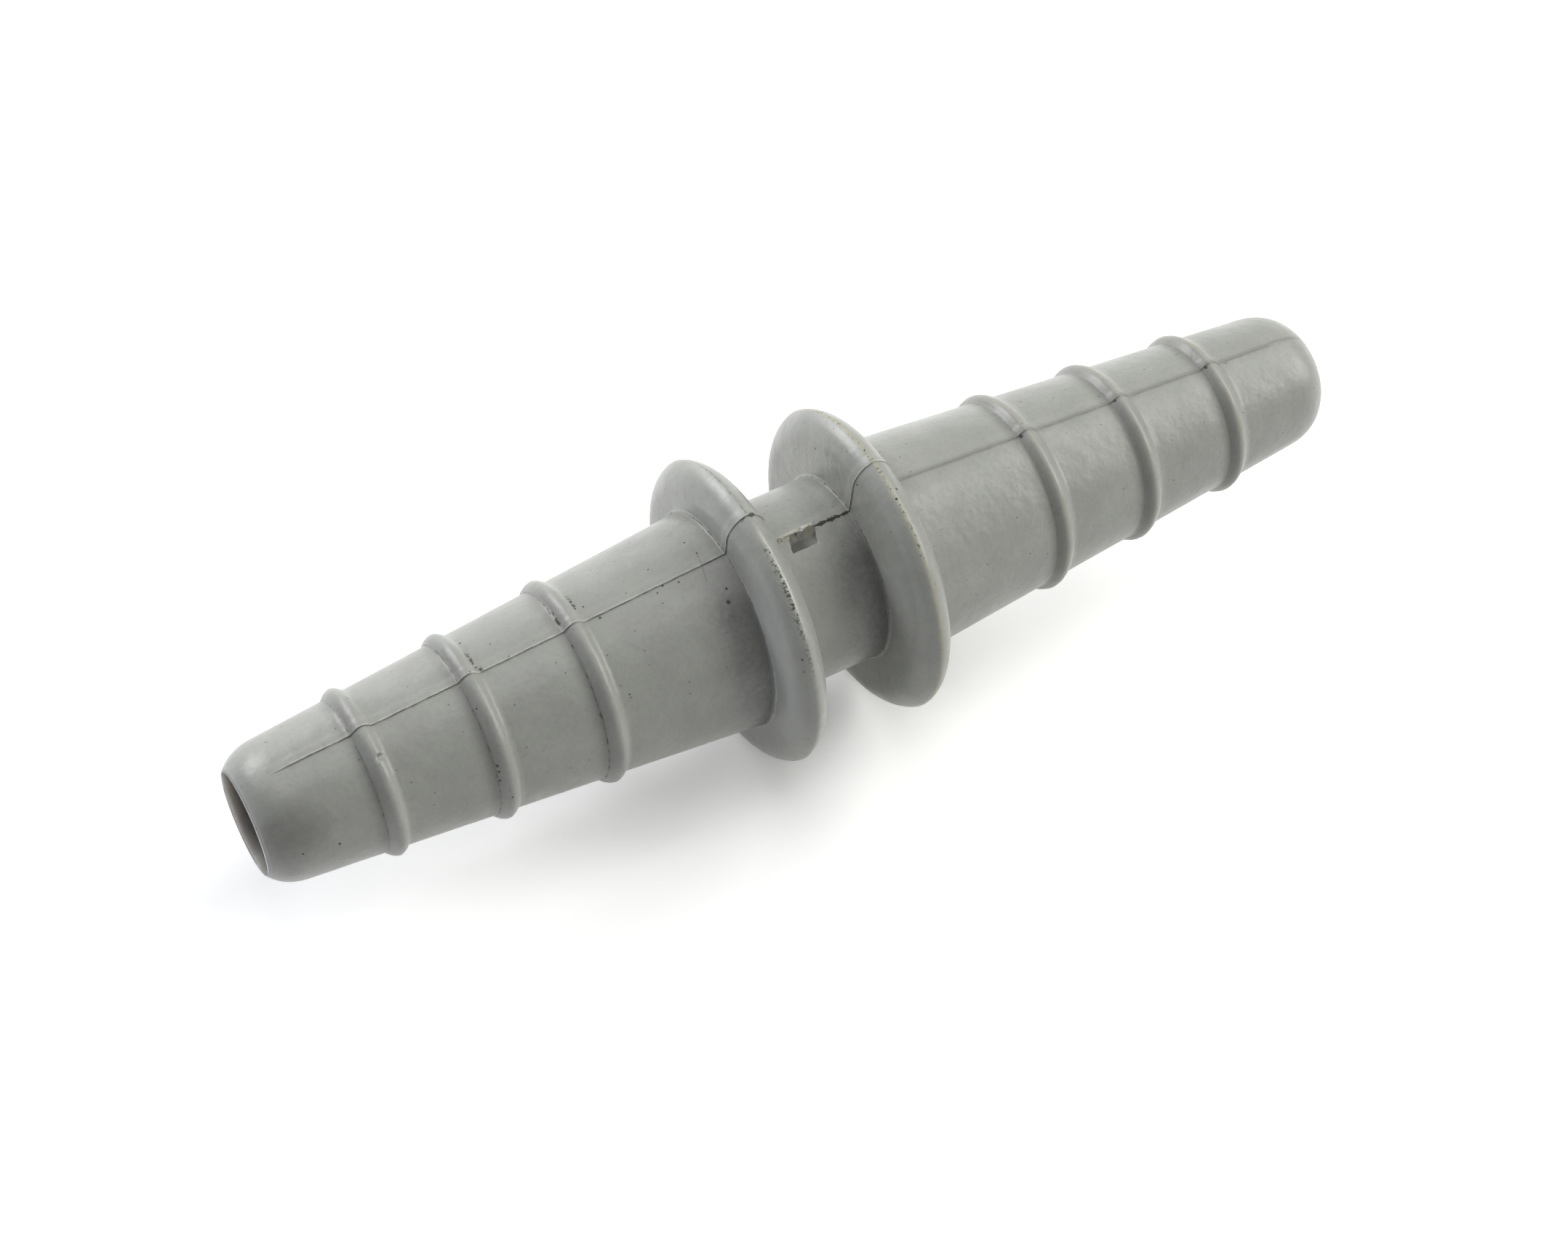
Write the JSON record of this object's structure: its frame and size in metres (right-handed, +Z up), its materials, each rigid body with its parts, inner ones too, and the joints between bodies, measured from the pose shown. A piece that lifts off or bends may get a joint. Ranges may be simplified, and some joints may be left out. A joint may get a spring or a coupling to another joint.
{
  "type": "tube connector",
  "caption": "Straight moulded connector that joins two flexible tubes: ringed tapered barbs back to back, with twin flanges and a hole right through.",
  "frame": {"origin": "on the axis of the hole, halfway between the two tips", "axes": "+X along the hole from the near tip to the far tip, +Z up, with the parting line on top and underneath as the connector lies on its flanges"},
  "size_m": [0.1, 0.0268, 0.027],
  "materials": {
    "body": "satin grey moulded plastic with a little ground-in dirt"
  },
  "bodies": {
    "root": {"tube_connector": "body"}
  },
  "joints": []
}
